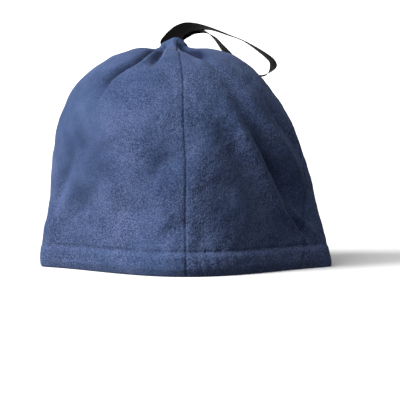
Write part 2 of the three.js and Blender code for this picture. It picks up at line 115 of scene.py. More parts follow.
@dataclass(frozen=True)
class Crease:
    """A crease in the crown that runs out from the foot of the tip, or a ridge where depth is negative.

    angle is its direction seen from above where it starts, bend how far it turns further out, and swing how
    far it turns near its outer end. left and right are its half widths on those sides, seen from the tip.
    The last number is how much shade is painted into the nap in its bottom, as a darker colour.
    """

    angle: float
    bend: float
    length: float
    left: float
    right: float
    depth: float
    swing: float = 0.0
    painted_crease_shade: float = 0.0

    def at(self, reach: Array, bearing: Array) -> Array:
        """How much of the crease there is, from 0 to 1: a hill across it that fades in and out along it.

        Args:
            reach: distances from the tip.
            bearing: directions from the tip in degrees.
        """
        turned = self.bend * smooth(reach, *CREASE_BENDS) + self.swing * smooth(reach, *CREASE_SWINGS)
        aside = np.radians(turn(self.angle, bearing - turned))
        along, across = reach * np.cos(aside), reach * np.sin(aside)
        width = np.where(across > 0, self.left, self.right)
        fading = 1 - smooth(along, self.length * CREASE_FADES, self.length)
        return bump(across / width) * smooth(along, *CREASE_STARTS) * fading


class Gore(Enum):
    """The four panels of the outer hat, each named for its node."""

    FRONT_RIGHT = "gore_front_right"
    BACK_RIGHT = "gore_back_right"
    BACK_LEFT = "gore_back_left"
    FRONT_LEFT = "gore_front_left"


SECTIONS = (
    Section(0, 144.5, 145, 105, 105, 25),
    Section(24, 142, 139.5, 104, 104, 30),
    Section(60, 136.5, 130, 101, 101, 46),
    Section(100, 132.5, 121, 98, 98, 70),
    Section(135, 128, 107.5, 92, 93, 86),
    Section(165, 117, 92, 82, 84, 82),
    Section(190, 98, 73, 68, 69, 68, 1),
    Section(205.5, 74.5, 53, 54, 54, 54, 3.5),
    Section(212.2, 57.5, 38.5, 45.5, 41, 41, 5),
    Section(214.9, 47, 25.5, 37, 28, 28, 3.5),
    Section(215.4, 31.5, 7, 28, 18, 16.5, 1),
    Section(217.6, 28.8, 3.2, 15, 11, 10.5),
    Section(221.8, 27.4, 1.2, 9.5, 7.4, 7.4),
    Section(226.5, 26.8, 0, 5.4, 5, 5),
)
LAST_LEVEL = len(SECTIONS) - 1
CROWN_LEVEL = 9  # the crown's highest section
FOOT_LEVEL = 10  # the foot of the gathered tip
HEM_LEVELS = 1  # below this level the cloth is part of the turned hem
CORNER_POWER = 4  # how suddenly a section swells from its corners to its full depth
TIP_X = -12.5
TIP_HEIGHT = 226.5
CROWN_HEIGHT = 216.0
SIDE_TOP = 196.0  # up to here rows are spaced by height, and above it along the cloth

# Each seam's angle round the hat in degrees, at every second section from the hem to the tip
Seam = tuple[float, ...]
SEAMS: tuple[Seam, ...] = (
    (-89.6, -88.4, -85.4, -83.2, -84.9, -77, -65, -46),
    (-41, -25, -4, 2, 4, 8, 24, 44),
    (84, 87, 90, 92, 93, 94, 95, 95),
    (158, 165, 172, 176, 178, 180, 180, 180),
)

# How much lower the tip's rim is than its highest point, at angles in degrees
RIM_ANGLES = (-180, -160, -142, -120, -98, -78, -60, -42, -20, 10, 90, 150, 180)
RIM_DROPS = (10, 8.9, 6.6, 3.9, 1.2, 0, 0.8, 3.6, 6.2, 7.6, 6.7, 8.6, 10)

FLEECE = 2.6
LINING = 0.8
HEM_HEIGHT = 23.0
LIP_HEIGHT = 7.0  # how far the hem's edge is turned up inside
LIP_THICKNESS = 4.4
LINING_GAP = 5.5
LINING_DROP = 8.0  # how much lower the lining hangs under the crown
LINING_EDGE = 8.5
RIBBON_WIDTH = 22.0
FAR = 99.0  # a distance from a seam past which nothing of it shows

FOLDS = (
    # the right gore: a deep valley between two ridges, fanning up from the corner of the hem
    Fold(-43, -0.17, 102, 4.2, 7.5, 52, 11.5),
    Fold(-43.5, -0.17, 94, 1.5, 2.4, 42, 2.4),
    Fold(-51.5, -0.17, 98, 4, 3.4, 46, -3.6),
    Fold(-60, -0.135, 90, 5.4, 5.4, 42, 5),
    Fold(-32.5, -0.27, 118, 3.6, 3.6, 38, -3.6),
    Fold(-22, -0.25, 138, 4.4, 6, 30, 6.4),
    Fold(-38, -0.38, 41, 2.4, 2.4, 17, -3.4),
    Fold(-32, -0.38, 40, 2.4, 2.6, 16, 4.2),
    Fold(-27, -0.38, 42, 2.2, 2.2, 15, -2.8),
    # the left gore
    Fold(-153, 0.28, 84, 5, 5.5, 30, 2.8),
    Fold(-142, 0.3, 83, 6, 6, 30, -2.4),
    Fold(-131, 0.34, 70, 6.5, 6.5, 28, 2.5),
    Fold(-118, 0.12, 118, 9, 9, 18, 2.4),
    Fold(-112, 0.1, 60, 8, 8, 14, 2.2),
    Fold(-97, 0.2, 104, 4.5, 8, 12, 3.4),
    Fold(-109, -0.3, 201, 6, 6, 6, 2.2),
    Fold(-97, 0, 203, 9, 9, 2.4, 0.9),
    Fold(-94.5, 0.2, 42, 4, 7, 10, 3.2),
    Fold(-82, -0.1, 38, 4, 4, 9, 2),
    # the back
    Fold(62, 0.2, 88, 8, 8, 44, 4.6),
    Fold(72, 0.2, 84, 6, 6, 38, -2),
    Fold(118, -0.15, 104, 9, 9, 36, 4.2),
    Fold(108, -0.15, 96, 7, 7, 34, -1.8),
    Fold(30, 0.3, 74, 6, 6, 34, 3.6),
    Fold(140, 0.1, 60, 7, 7, 30, 2.4),
)

LINING_HOLLOW = Fold(-40, -0.2, 108, 27, 27, 76, 11)

# Reaches between which a crease starts, bends and swings, and the share of its length where it begins to fade
CREASE_STARTS = (4, 26)
CREASE_BENDS = (8, 42)
CREASE_SWINGS = (50, 82)
CREASE_FADES = 0.55

# The last number of a row, where given, is how much shade is painted into the nap in its bottom. The shallow
# row at -39 is there mostly for its painted shade.
CREASES = (
    Crease(-139, 15, 104, 2.5, 5.6, 12, -13, 0.9),
    Crease(-139, 15, 92, 1.4, 1.8, 2.6, -13),
    Crease(-132, 15, 84, 3.4, 3.4, -2.2, -13),
    Crease(-120, 11, 70, 3, 3.6, 5.6, 0, 0.5),
    Crease(-112, 11, 58, 4, 3, -1.4),
    Crease(-45, -9, 72, 5, 3.4, 9.5, 9, 0.6),
    Crease(-39, -8, 62, 4.5, 6, 0.8, 6, 0.9),
    Crease(-60, -3, 68, 6, 10, 4.2),
    Crease(2, 0, 76, 30, 24, 1.5),
    Crease(16, 4, 46, 5.5, 5.5, 1.4),
    Crease(40, 10, 72, 4, 8, 7),
    Crease(84, -6, 40, 5, 5, 3),
    Crease(134, 14, 76, 8, 4, 7),
    Crease(170, -6, 44, 5, 5, 2),
)

# The ribbon from one end to the other: the middle of its width, and the width's heading seen from above and
# its dip, in degrees
RIBBON_SECTIONS = (
    # x, y, z, heading, dip
    (-13.6, -0.65, 211, 0, 0),
    (-13.7, -0.65, 218, 0, 0),
    (-14.3, 0.9, 222, -5, 1),
    (-12.5, 3.4, 226.3, -27, 7),
    (-9, 6, 230.7, -44, 17),
    (-4.6, 7.8, 234.1, -55, 25),
    (1.8, 9.4, 236.8, -69, 28),
    (9.2, 10.8, 237.4, -82, 24),
    (17.7, 12.6, 236.8, -92, 15),
    (28, 15, 234.6, -100, 6),
    (42, 19, 229.8, -102, 2),
    (60, 24.5, 223, -102, 0),
    (82.5, 33, 208.5, -105, 7),
    (88, 36, 200.5, -111, 3),
    (84.5, 38, 193, -106, 10),
    (75, 40, 189.8, -96, 5),
    (61, 41, 194.5, -85, 0),
    (50, 38, 203, -80, -8),
    (42.8, 33.5, 210.4, -81, -12),
    (36, 28.5, 218.2, -86, -10),
    (29, 22.6, 226.3, -88, -3),
    (20.6, 17.8, 232, -91, 6),
    (12, 14.4, 234.4, -84, 20),
    (4.2, 12.4, 234.5, -69, 27),
    (-2.8, 10.4, 231.5, -55, 25),
    (-7.8, 8.4, 228.3, -42, 17),
    (-11.4, 5.6, 225.2, -27, 7),
    (-13.7, 2.6, 222.4, -6, 1),
    (-13.5, 0.65, 218.9, 0, 0),
    (-13.5, 0.65, 211, 0, 0),
)


# Shapes in numpy


def bump(t: Array) -> Array:
    """A smooth hill of height 1 at t = 0 that has died away at about t = 2: e to the power of -t squared."""
    return np.exp(-t * t)


def smooth(x: Array, low: float, high: float) -> Array:
    """0 below low and 1 above high, with the smooth step 3t² - 2t³ between."""
    t = np.clip((x - low) / (high - low), 0.0, 1.0)
    return t * t * (3 - 2 * t)


def wander(height: Array) -> Array:
    """A height with a slow wave added, so that what is spaced along it is uneven: h + 7 sin(h / 31)."""
    return height + 7 * np.sin(height / 31)


def turn(start: float, end: Array) -> Array:
    """The turn from one angle to another in degrees, between -180 and 180."""
    return np.mod(end - start + 180.0, 360.0) - 180.0


def catmull(values: Array, level: Array) -> Array:
    """Points on the Catmull-Rom curve through a row of values.

    Args:
        values: the values at the levels 0, 1, 2 and so on, along the first axis.
        level: the levels at which the curve is read.

    Returns:
        The curve's values, with the shape of level followed by the rest of values' shape.
    """
    last = len(values) - 1
    row = np.clip(np.floor(level).astype(int), 0, last - 1)
    t = (level - row).reshape(level.shape + (1,) * (values.ndim - 1))
    before, start, end, after = (values[np.clip(row + k, 0, last)] for k in (-1, 0, 1, 2))
    leave, arrive, span = (end - before) / 2, (after - start) / 2, end - start
    return start + leave * t + (3 * span - 2 * leave - arrive) * t**2 + (leave + arrive - 2 * span) * t**3


def unit(vectors: Array) -> Array:
    """The vectors divided by their lengths."""
    return vectors / np.maximum(np.linalg.norm(vectors, axis=-1, keepdims=True), 1e-9)


def run_along(line: Array) -> Array:
    """How far each point of a line lies from its start, along the line."""
    return np.concatenate([[0], np.cumsum(np.linalg.norm(np.diff(line, axis=0), axis=1))])


def grid_numbers(columns: int, rows: int, ring: bool = False) -> Array:
    """The numbers of points stored column by column. In a ring the first column comes again at the end."""
    index = np.arange(columns * rows).reshape(columns, rows)
    return np.vstack([index, index[:1]]) if ring else index


def strip_quads(first: Array, second: Array) -> Array:
    """The faces between two equally long rows of point numbers."""
    return np.stack([first[:-1], first[1:], second[1:], second[:-1]], axis=-1)


def grid_quads(index: Array) -> Array:
    """The faces of a grid of point numbers, each running from a column to the next and then up."""
    corners = (index[:-1, :-1], index[1:, :-1], index[1:, 1:], index[:-1, 1:])
    return np.stack(corners, axis=-1).reshape(-1, 4)


def tube_quads(around: int, along: int) -> Array:
    """The faces of a tube that is closed at both ends by a ladder of faces between its two halves.

    Args:
        around: the even number of lines of points round the tube.
        along: the number of points in each line, which are stored line by line.

    Returns:
        One row of four point numbers for each face.
    """
    half = np.arange(around // 2)
    end = strip_quads(half, around - 1 - half) * along
    side = grid_quads(grid_numbers(around, along, ring=True))
    return np.concatenate([side[:, ::-1], end, end[:, ::-1] + along - 1])


def shell(outer: Array, inner: Array, ring: bool) -> tuple[Array, Array]:
    """Closes two grids of points into one thin body, with strips that join their edges.

    Args:
        outer: the outer face's points, [column, row, xyz].
        inner: the inner face's points, of the same shape.
        ring: whether the last column joins the first.

    Returns:
        The points and the four-sided faces.
    """
    top = grid_numbers(*outer.shape[:2], ring)
    under = top + outer[..., 0].size
    faces = [
        grid_quads(top),
        grid_quads(under)[:, ::-1],
        strip_quads(under[:, 0], top[:, 0]),
        strip_quads(top[:, -1], under[:, -1]),
    ]
    if not ring:
        faces += [strip_quads(top[0], under[0]), strip_quads(under[-1], top[-1])]
    return np.concatenate([outer.reshape(-1, 3), inner.reshape(-1, 3)]), np.concatenate(faces)


def add_object(name: str, data: ID) -> Object:
    """Puts a new object in the scene, at the origin."""
    made = bpy.data.objects.new(name, data)
    bpy.context.scene.collection.objects.link(made)
    return made


def make_piece(
    name: str, points: Array, faces: Array, material: Material, attributes: dict[str, Array] | None = None
) -> Object:
    """Makes a smooth mesh object at the origin.

    Args:
        name: the piece's name.
        points: its points in millimetres.
        faces: its faces, each with the same number of corners.
        material: its finish.
        attributes: a number for each point under each name, for the finish to read.

    Returns:
        The new object, in the scene.
    """
    mesh = bpy.data.meshes.new(name)
    mesh.vertices.add(len(points))
    mesh.vertices.foreach_set("co", (points * MM).astype(np.float32).ravel())
    mesh.loops.add(faces.size)
    mesh.loops.foreach_set("vertex_index", faces.astype(np.int32).ravel())
    mesh.polygons.add(len(faces))
    mesh.polygons.foreach_set("loop_start", np.arange(0, faces.size, faces.shape[1], dtype=np.int32))
    mesh.polygons.foreach_set("use_smooth", np.ones(len(faces), dtype=bool))
    mesh.update(calc_edges=True)
    for key, values in (attributes or {}).items():
        layer = mesh.attributes.new(key, "FLOAT", "POINT")
        layer.data.foreach_set("value", values.astype(np.float32).ravel())
    mesh.materials.append(material)
    LOG.info("%s: %d points, %d faces", name, len(points), len(faces))
    return add_object(name, mesh)


@dataclass
class LatticeNoise:
    """Smooth random unevenness that fills space.

    Random numbers between -1 and 1 sit on a lattice with a spacing in millimetres, and a point's value is
    mixed from the eight round it with weights on the smooth step.
    """

    spacing: float
    seed: int

    def __post_init__(self) -> None:
        """Draws the lattice's numbers."""
        self.numbers = np.random.default_rng(self.seed).uniform(-1, 1, (61, 59, 53))

    def at(self, points: Array) -> Array:
        """The values at points in millimetres."""
        place = points / self.spacing
        cell = np.floor(place).astype(int)
        share = smooth(place - cell, 0, 1)
        total = np.zeros(points.shape[:-1])
        for corner in np.ndindex(2, 2, 2):
            index = np.mod(cell + corner, self.numbers.shape)
            weight = np.prod(np.where(np.array(corner) == 1, share, 1 - share), axis=-1)
            total += weight * self.numbers[index[..., 0], index[..., 1], index[..., 2]]
        return total


@dataclass(frozen=True)
class WaveSet:
    """A set of small waves in the cloth: their number, shortest and longest lengths, and height."""

    count: int
    shortest: float
    longest: float
    height: float


@dataclass
class HatForm:
    """The shape of the outer cloth as a function of the angle round the hat and a level in SECTIONS."""

    wave_sets: tuple[WaveSet, ...] = (WaveSet(14, 38, 80, 0.26), WaveSet(22, 13, 26, 0.055))
    wave_seed: int = 7
    wave_ways: tuple[float, float, float] = (1.0, 1.0, 0.75)
    hem_padding: float = 2.2
    drag_height: float = 0.28
    stitch_dent: float = 1.2
    stitch_width: float = 1.6
    soft_dent: float = 0.5
    soft_width: float = 6.0
    nap_depth: float = 0.24
    # how much shade is painted into the bottoms of the deep folds, and the most painted shade at any point
    fold_shade: float = 0.6
    most_shade: float = 0.95

    def __post_init__(self) -> None:
        """Draws the directions, lengths and phases of the cloth's small waves, and its nap."""
        random = np.random.default_rng(self.wave_seed)
        lengths = np.concatenate([random.uniform(s.shortest, s.longest, s.count) for s in self.wave_sets])
        ways = unit(random.normal(size=(len(lengths), 3)) * self.wave_ways)
        self.waves = ways * (2 * math.pi / lengths)[:, None]
        self.wave_heights = np.concatenate([np.full(s.count, s.height) for s in self.wave_sets])
        self.wave_phases = random.uniform(0, 2 * math.pi, len(lengths))
        self.table = np.array([astuple(section) for section in SECTIONS], float)
        self.rising = np.linspace(0, CROWN_LEVEL - 1, 4000)
        self.heights = catmull(self.table[:, 0], self.rising)
        self.nap = LatticeNoise(1.9, 3)
        self.clumps = LatticeNoise(4.3, 5)

    def level_at(self, height: Array) -> Array:
        """The level whose section lies at a height below the crown's top."""
        return np.interp(height, self.heights, self.rising)

    def base(self, angle: Array, level: Array) -> Array:
        """The smooth surface before its folds.

        x is the middle of a section plus its half width times the cosine of the angle. y is the corner
        depth times the sine, plus the rest of the depth times the sine to the fourth power, with its sign.
        z is the height less the droop times the sine squared.

        Args:
            angle: angles in radians.
            level: levels of the same shape.

        Returns:
            The points, with xyz along a new last axis.
        """
        height, left, right, front, back, corner, droop = np.moveaxis(catmull(self.table, level), -1, 0)
        sine = np.sin(angle)
        swell = np.sign(sine) * np.abs(sine) ** CORNER_POWER
        x = (right - left) / 2 + (right + left) / 2 * np.cos(angle)
        depth = np.where(sine < 0, front, back)
        return np.stack([x, corner * sine + (depth - corner) * swell, height - droop * sine**2], axis=-1)

    def outward(self, angle: Array, level: Array) -> Array:
        """The direction out of the cloth: square to the line that runs up the hat, in the angle's plane."""
        above, below = np.minimum(level + 0.02, LAST_LEVEL), np.maximum(level - 0.02, 0)
        run = self.base(angle, above) - self.base(angle, below)
        across = run[..., 0] * np.cos(angle) + run[..., 1] * np.sin(angle)
        return unit(np.stack([np.cos(angle) * run[..., 2], np.sin(angle) * run[..., 2], -across], axis=-1))

    def seam_angle(self, seam: Seam, level: Array) -> Array:
        """Where a seam lies at each level, in radians."""
        return np.radians(catmull(np.array(seam), level / 2))

    def folds(self, angle: Array, level: Array, point: Array) -> Array:
        """How far the long folds draw the sides in. They fade out at the hem's edge and on the crown."""
        degrees, height = np.degrees(angle), point[..., 2]
        total = sum(fold.at(degrees, height) for fold in FOLDS)
        return total * (1 - smooth(level, CROWN_LEVEL - 2, CROWN_LEVEL)) * smooth(height, 0, 20)

    def creases(self, level: Array, point: Array) -> tuple[Array, Array]:
        """How far the creases draw the crown in, and how much shade is painted into the nap in them.

        They fade out down the sides and up the tip.
        """
        east, north = point[..., 0] - TIP_X, point[..., 1]
        reach, bearing = np.hypot(east, north), np.degrees(np.arctan2(north, east))
        top = smooth(point[..., 2], 150, 186) * (1 - smooth(level, FOOT_LEVEL + 1.1, LAST_LEVEL - 0.4))
        depth, painted_crease_shade = np.zeros_like(reach), np.zeros_like(reach)
        for crease in CREASES:
            share = crease.at(reach, bearing)
            depth += crease.depth * share
            # painted shade in the bottom of each crease
            painted_crease_shade += crease.painted_crease_shade * share
        return top * depth, top * painted_crease_shade

    def shade(self, angle: Array, level: Array) -> Array:
        """How much shade is painted into the nap's colour in the bottoms of the folds and creases."""
        point = self.base(angle, level)
        # painted shade in the bottoms of the deep folds, added to the creases' painted shade
        folds = self.fold_shade * smooth(self.folds(angle, level, point), 5, 15)
        return np.minimum(folds + self.creases(level, point)[1], self.most_shade)

    def pleats(self, angle: Array, level: Array) -> Array:
        """The small pleats of the gathered tip: two sets of waves round it that deepen upwards."""
        gather = smooth(level, CROWN_LEVEL + 0.2, FOOT_LEVEL + 1.5) * (0.6 - 0.4 * np.cos(angle))
        return gather * (0.3 * np.cos(9 * angle + 0.6) + 0.2 * np.cos(14 * angle + 2.0 + level))

    def hem(self, angle: Array, level: Array, point: Array) -> Array:
        """How far the hem's two layers stand out, with drag lines, less the dent of its stitches.

        The dent is a narrow hill on the line of stitches and a wide soft one just above it. The stitches
        pull harder in some places than in others. The hem is flatter where the hat is drawn to its corners.
        """
        height = point[..., 2]
        arc = point[..., 0] + point[..., 1] * 0.3
        padding = smooth(height, 1, 8) * (1 - smooth(height, HEM_HEIGHT - 6, HEM_HEIGHT))
        drag = self.drag_height * np.sin(arc / 1.9 + height * 0.22 + 2.0 * np.sin(arc / 23)) * padding
        pulls = 0.75 + 0.4 * np.sin(arc / 3.1 + 1.7 * np.sin(arc / 17)) * np.sin(arc / 11 + 1.0)
        dent = self.stitch_dent * bump((height - HEM_HEIGHT) / self.stitch_width)
        soft = self.soft_dent * bump((height - HEM_HEIGHT - 2) / self.soft_width)
        flat = 0.3 + 0.7 * smooth(np.abs(np.sin(angle)), 0.08, 0.5)
        out = flat * (self.hem_padding * padding + drag - pulls * (dent + soft))
        return np.where(level < CROWN_LEVEL, out, 0)

    def ripples(self, point: Array) -> Array:
        """The cloth's small unevenness: waves that cross space in many directions, and the nap's tufts."""
        phase = point @ self.waves.T + self.wave_phases
        nap = self.nap.at(point) + 0.6 * self.clumps.at(point)
        return np.sin(phase) @ self.wave_heights + self.nap_depth * nap * (1 - 0.7 * self.calm(point))

    def calm(self, point: Array) -> Array:
        """How flat the nap lies: fully on the crown and high on the left side, not at all low down."""
        height = point[..., 2]
        return np.maximum(smooth(-point[..., 0], 25, 95) * smooth(height, 20, 120), smooth(height, 186, 212))

    def relief(self, angle: Array, level: Array) -> Array:
        """How far the cloth stands out from the smooth surface."""
        point = self.base(angle, level)
        out = self.hem(angle, level, point) + self.pleats(angle, level)
        out += smooth(point[..., 2], 0, 14) * self.ripples(point)
        return out - self.folds(angle, level, point) - self.creases(level, point)[0]

    def cloth(self, angle: Array, level: Array, depth: Array | float) -> Array:
        """Points at a depth below the cloth's outer face."""
        out = self.relief(angle, level) - depth
        return self.base(angle, level) + self.outward(angle, level) * out[..., None]


@dataclass
class GorePanel:
    """One panel of the outer hat between two seams, with its turned hem."""

    form: HatForm
    gore: Gore
    start: Seam
    end: Seam
    columns: int = 136
    beside: tuple[float, ...] = (0.0, 0.15, 0.4, 0.75, 1.2, 1.8, 2.6, 3.7, 5.0)
    edge_rows: tuple[float, ...] = (0.0, 0.12, 0.4, 0.8, 1.3, 1.9, 2.6, 3.6, 4.8, 6.0)
    hem_step: float = 0.9
    side_step: float = 1.3
    crown_step: float = 1.15
    edge_round: float = 3.4
    groove_depth: float = 0.65
    groove_width: float = 1.15
    slot_width: float = 11.75
    slot_offset: float = 0.7
    slot_depth: float = 1.5
    slot_drop: float = 12.0

    def levels(self) -> Array:
        """The rows' levels: close together up the hem's edge, then about a millimetre apart to the tip."""
        hem, side = np.arange(8.0, 28, self.hem_step), np.arange(28.0, SIDE_TOP, self.side_step)
        low = self.form.level_at(np.concatenate([self.edge_rows, [LIP_HEIGHT, LIP_HEIGHT + 0.1], hem, side]))
        low[0] = 0.0
        fine = np.linspace(low[-1], LAST_LEVEL, 900)
        run = run_along(self.form.base(np.full(len(fine), -math.pi / 2), fine))
        steps = np.linspace(0, run[-1], int(run[-1] / self.crown_step))[1:]
        return np.concatenate([low, np.interp(steps, run, fine)])

    def angles(self, levels: Array) -> tuple[Array, Array]:
        """The columns' angles at each level, and how far they lie from the nearer seam.

        Args:
            levels: the rows' levels.

        Returns:
            The angles, [column, row], and the distances, [column, 1].
        """
        form = self.form
        start, end = form.seam_angle(self.start, levels), form.seam_angle(self.end, levels)
        end = np.where(end < start, end + 2 * math.pi, end)

        def speed(angle: Array, step: float = 0.01) -> Array:
            """Millimetres along the cloth for each radian."""
            ahead, behind = form.base(angle + step, levels), form.base(angle - step, levels)
            return np.linalg.norm(ahead - behind, axis=-1) / (2 * step)

        near = np.array(self.beside)[:, None]
        first = start + near / speed(start)
        last = end - near[::-1] / speed(end)
        share = np.linspace(0, 1, self.columns)[1:-1, None]
        between = first[-1] + (last[0] - first[-1]) * share
        beside = np.concatenate([near, np.full_like(share, FAR), near[::-1]])
        return np.concatenate([first, between, last]), beside

    def roll(self, height: Array, level: Array) -> Array:
        """How far the hem's edge rolls in: a quarter circle as high as edge_round."""
        low = np.clip(1 - height / self.edge_round, 0, 1) * (level < HEM_LEVELS)
        return self.edge_round * (1 - np.sqrt(1 - low**2))

    def outer(self, angle: Array, level: Array, beside: Array) -> Array:
        """The outer face: rolled under at the seams and at the hem's edge, and uneven along the tip's rim.

        At a seam the cloth drops by the groove's depth on a hill's flank, less up the tip. Puckers along it
        come and go every 13 mm or so.
        """
        height = self.form.base(angle, level)[..., 2]
        groove = self.groove_depth * bump(beside / self.groove_width) * (1 - 0.7 * smooth(level, 10.4, 12))
        pucker = 0.22 * np.sin(wander(height) / 2.1) * np.exp(-beside / 5) + 0.25 * np.exp(-beside / 2.5)
        points = self.form.cloth(angle, level, groove + pucker + 0.8 * self.roll(height, level))
        rim = np.clip((height - CROWN_HEIGHT) / (TIP_HEIGHT - CROWN_HEIGHT), 0, 1) * (level > FOOT_LEVEL)
        points[..., 2] -= rim * self.rim_drop(angle)
        return self.rested(points)

    def inner(self, angle: Array, level: Array) -> Array:
        """The inner face: the turned lip, one layer of cloth above it, and the slot in the tip.

        The slot's section is a circle whose cosine and sine are stretched and clipped to a rectangle.
        """
        height = self.form.base(angle, level)[..., 2]
        thick = np.where((level < HEM_LEVELS) & (height <= LIP_HEIGHT), LIP_THICKNESS, FLEECE)
        points = self.form.cloth(angle, level, thick - 0.6 * self.roll(height, level))
        across, along = np.clip(math.sqrt(2) * np.stack([np.cos(angle), np.sin(angle)]), -1, 1)
        floor, top = CROWN_HEIGHT - self.slot_drop, TIP_HEIGHT - self.rim_drop(angle) - 0.8
        climb = smooth(level, FOOT_LEVEL + 0.2, LAST_LEVEL)
        x = TIP_X - self.slot_offset + self.slot_width * across
        slot = np.stack([x, self.slot_depth * along, floor + (top - floor) * climb], axis=-1)
        closing = smooth(level, CROWN_LEVEL + 0.3, FOOT_LEVEL + 0.2)[..., None]
        return self.rested(points + (slot - points) * closing)

    def rested(self, points: Array) -> Array:
        """The points with none below the floor and the lowest row on it."""
        points[..., 2] = np.maximum(points[..., 2], 0.0)
        points[:, 0, 2] = 0.0
        return points

    def rim_drop(self, angle: Array) -> Array:
        """How much lower the tip's rim is than TIP_HEIGHT, read between the points of the rim's table."""
        return np.interp(turn(0, np.degrees(angle)), RIM_ANGLES, RIM_DROPS)

    def tones(self, outer: Array, beside: Array, angle: Array, level: Array) -> dict[str, Array]:
        """How much shade is painted on the nap and how rough the nap is, for the finish to read.

        Args:
            outer: the outer face's points, [column, row, xyz].
            beside: their distances from the nearer seam.
            angle: their angles.
            level: their levels.

        Returns:
            For the points of both faces, the painted shade and the nap. The painted shade is the darkest of
            uneven dashes painted along the seam's groove, a line painted along the dent of the stitches, and
            the shade painted in the folds and creases. The nap is rough low down. Inside, they are 0 and 1.
        """
        height = outer[..., 2]
        dashes = 1 + 0.3 * np.sin(wander(height) / 2.1 + 1.0)
        # painted shade: uneven dark dashes in the seam's groove and a faint darkening beside it
        seam = 0.36 * dashes * bump(beside / 0.9) + 0.06 * np.exp(-beside / 3)
        pulls = 0.6 + 0.4 * self.form.clumps.at(outer * [1.0, 1.0, 0.0])
        # painted shade along the dent that the hem's stitches pull in
        stitch = 0.4 * pulls * bump((height - HEM_HEIGHT) / 1.1) * (level < HEM_LEVELS)
        # the painted shade at each point is the darkest of the seam's, the stitches' and the folds'
        painted_shade = np.maximum(np.maximum(seam, stitch), self.form.shade(angle, level))
        nap = 1.6 - 1.2 * self.form.calm(outer)
        return {
            "painted_shade": np.concatenate([painted_shade.ravel(), np.zeros(painted_shade.size)]),
            "nap": np.concatenate([nap.ravel(), np.ones(nap.size)]),
        }

    def build(self, material: Material) -> None:
        """Makes the panel as one closed body in its node's place.

        Args:
            material: the fleece.
        """
        levels = self.levels()
        angle, beside = self.angles(levels)
        level = np.broadcast_to(levels, angle.shape)
        outer = self.outer(angle, level, beside)
        points, faces = shell(outer, self.inner(angle, level), ring=False)
        tones = self.tones(outer, beside, angle, level)
        piece = make_piece(f"{self.gore.value}_fleece", points, faces, material, tones)
        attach(piece, "root")
        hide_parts(self.gore.value)


@dataclass
class HemStitching:
    """The line of stitches that holds the turned hem, all round the hat."""

    form: HatForm
    spacing: float = 3.4
    length: float = 2.7
    thickness: float = 0.55
    depth: float = 0.1
    rings: int = 7
    sides: int = 6

    def build(self, material: Material) -> None:
        """Makes every stitch, in one piece, as a short thread that dips into the cloth at both ends.

        Along a stitch its middle is raised by a parabola, and it thins towards its ends by the square root
        of 1 - u⁴.

        Args:
            material: the thread.
        """
        form = self.form
        level = form.level_at(np.array([HEM_HEIGHT]))[0]
        dense = np.linspace(-math.pi, math.pi, 6000)
        run = run_along(form.cloth(dense, np.full(len(dense), level), 0.0))
        count = int(run[-1] / self.spacing)
        angle = np.interp((np.arange(count) + 0.5) * run[-1] / count, run, dense)
        levels = np.full(count, level)
        middle = form.cloth(angle, levels, self.depth)
        ahead = unit(form.cloth(angle + 0.004, levels, 0.0) - form.cloth(angle - 0.004, levels, 0.0))
        out = form.outward(angle, levels)
        axes = np.stack([ahead, out, unit(np.cross(out, ahead))], axis=1)
        u = np.linspace(-1, 1, self.rings)
        around = (np.arange(self.sides) * 2 * math.pi / self.sides)[:, None]
        radius = self.thickness / 2 * np.sqrt(np.clip(1 - u**4, 0.04, 1))
        lift = 0.3 * (1 - u**2) - 0.25
        parts = (u * self.length / 2, lift + radius * np.cos(around), radius * np.sin(around))
        stitch = np.stack(np.broadcast_arrays(*parts), axis=-1).reshape(-1, 3)
        points = middle[:, None] + stitch @ axes
        firsts = np.arange(count)[:, None, None] * len(stitch)
        faces = (firsts + tube_quads(self.sides, self.rings)).reshape(-1, 4)
        piece = make_piece("hem_stitches", points.reshape(-1, 3), faces, material)
        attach(piece, "root")


@dataclass
class Lining:
    """The thin dark bag that hangs inside the gores."""

    form: HatForm
    columns: int = 200
    top_level: float = 8.0
    gather_drop: float = 3.5

    def sheet(self, angle: Array, level: Array, depth: float) -> Array:
        """One face of the bag.

        At its edge it follows the gores closely. Above that it hangs free of them, crosses their folds in
        one wide hollow, drops under the crown and its deep creases, and has a few slack waves round it.

        Args:
            angle: angles in radians, [column, row].
            level: levels of the same shape.
            depth: how far the face lies below the bag's outer face.

        Returns:
            The points, [column, row, xyz].
        """
        form = self.form
        point = form.base(angle, level)
        free = smooth(level, 0.33, 0.9)
        hollow = LINING_HOLLOW.at(np.degrees(angle), point[..., 2])
        slack = 0.35 * np.sin(7 * angle + level)
        hang = LINING_DROP * smooth(level, 6, 8) + np.maximum(form.creases(level, point)[0] - 5, 0)
        below = FLEECE + 0.3 + free * (LINING_GAP - 0.3 + hollow + slack) + hang + depth
        out = form.relief(angle, level) * (1 - free) - below
        return point + form.outward(angle, level) * out[..., None]

    def gathered(self, grid: Array) -> Array:
        """The grid with three more rows that draw it in to a small flat circle at its top."""
        centre = np.array([TIP_X, 0, grid[:, -1, 2].mean() - self.gather_drop])
        share = np.array([0.55, 0.2, 0.004])[None, :, None]
        return np.concatenate([grid, centre + (grid[:, -1:] - centre) * share], axis=1)

    def build(self, material: Material) -> None:
        """Makes the bag in its node's place as one closed body.

        Args:
            material: the lining cloth.
        """
        heights = np.concatenate([np.arange(LINING_EDGE, 26, 1.6), np.arange(26.0, SIDE_TOP, 3.0)])
        levels = np.concatenate([self.form.level_at(heights), np.linspace(6.6, self.top_level, 8)])
        turns = np.arange(self.columns) * 2 * math.pi / self.columns
        angle, level = np.meshgrid(turns, levels, indexing="ij")
        outer, inner = (self.gathered(self.sheet(angle, level, depth)) for depth in (0.0, LINING))
        points, faces = shell(outer, inner, ring=True)
        piece = make_piece("lining_bag", points, faces, material)
        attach(piece, "root")
        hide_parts("lining")


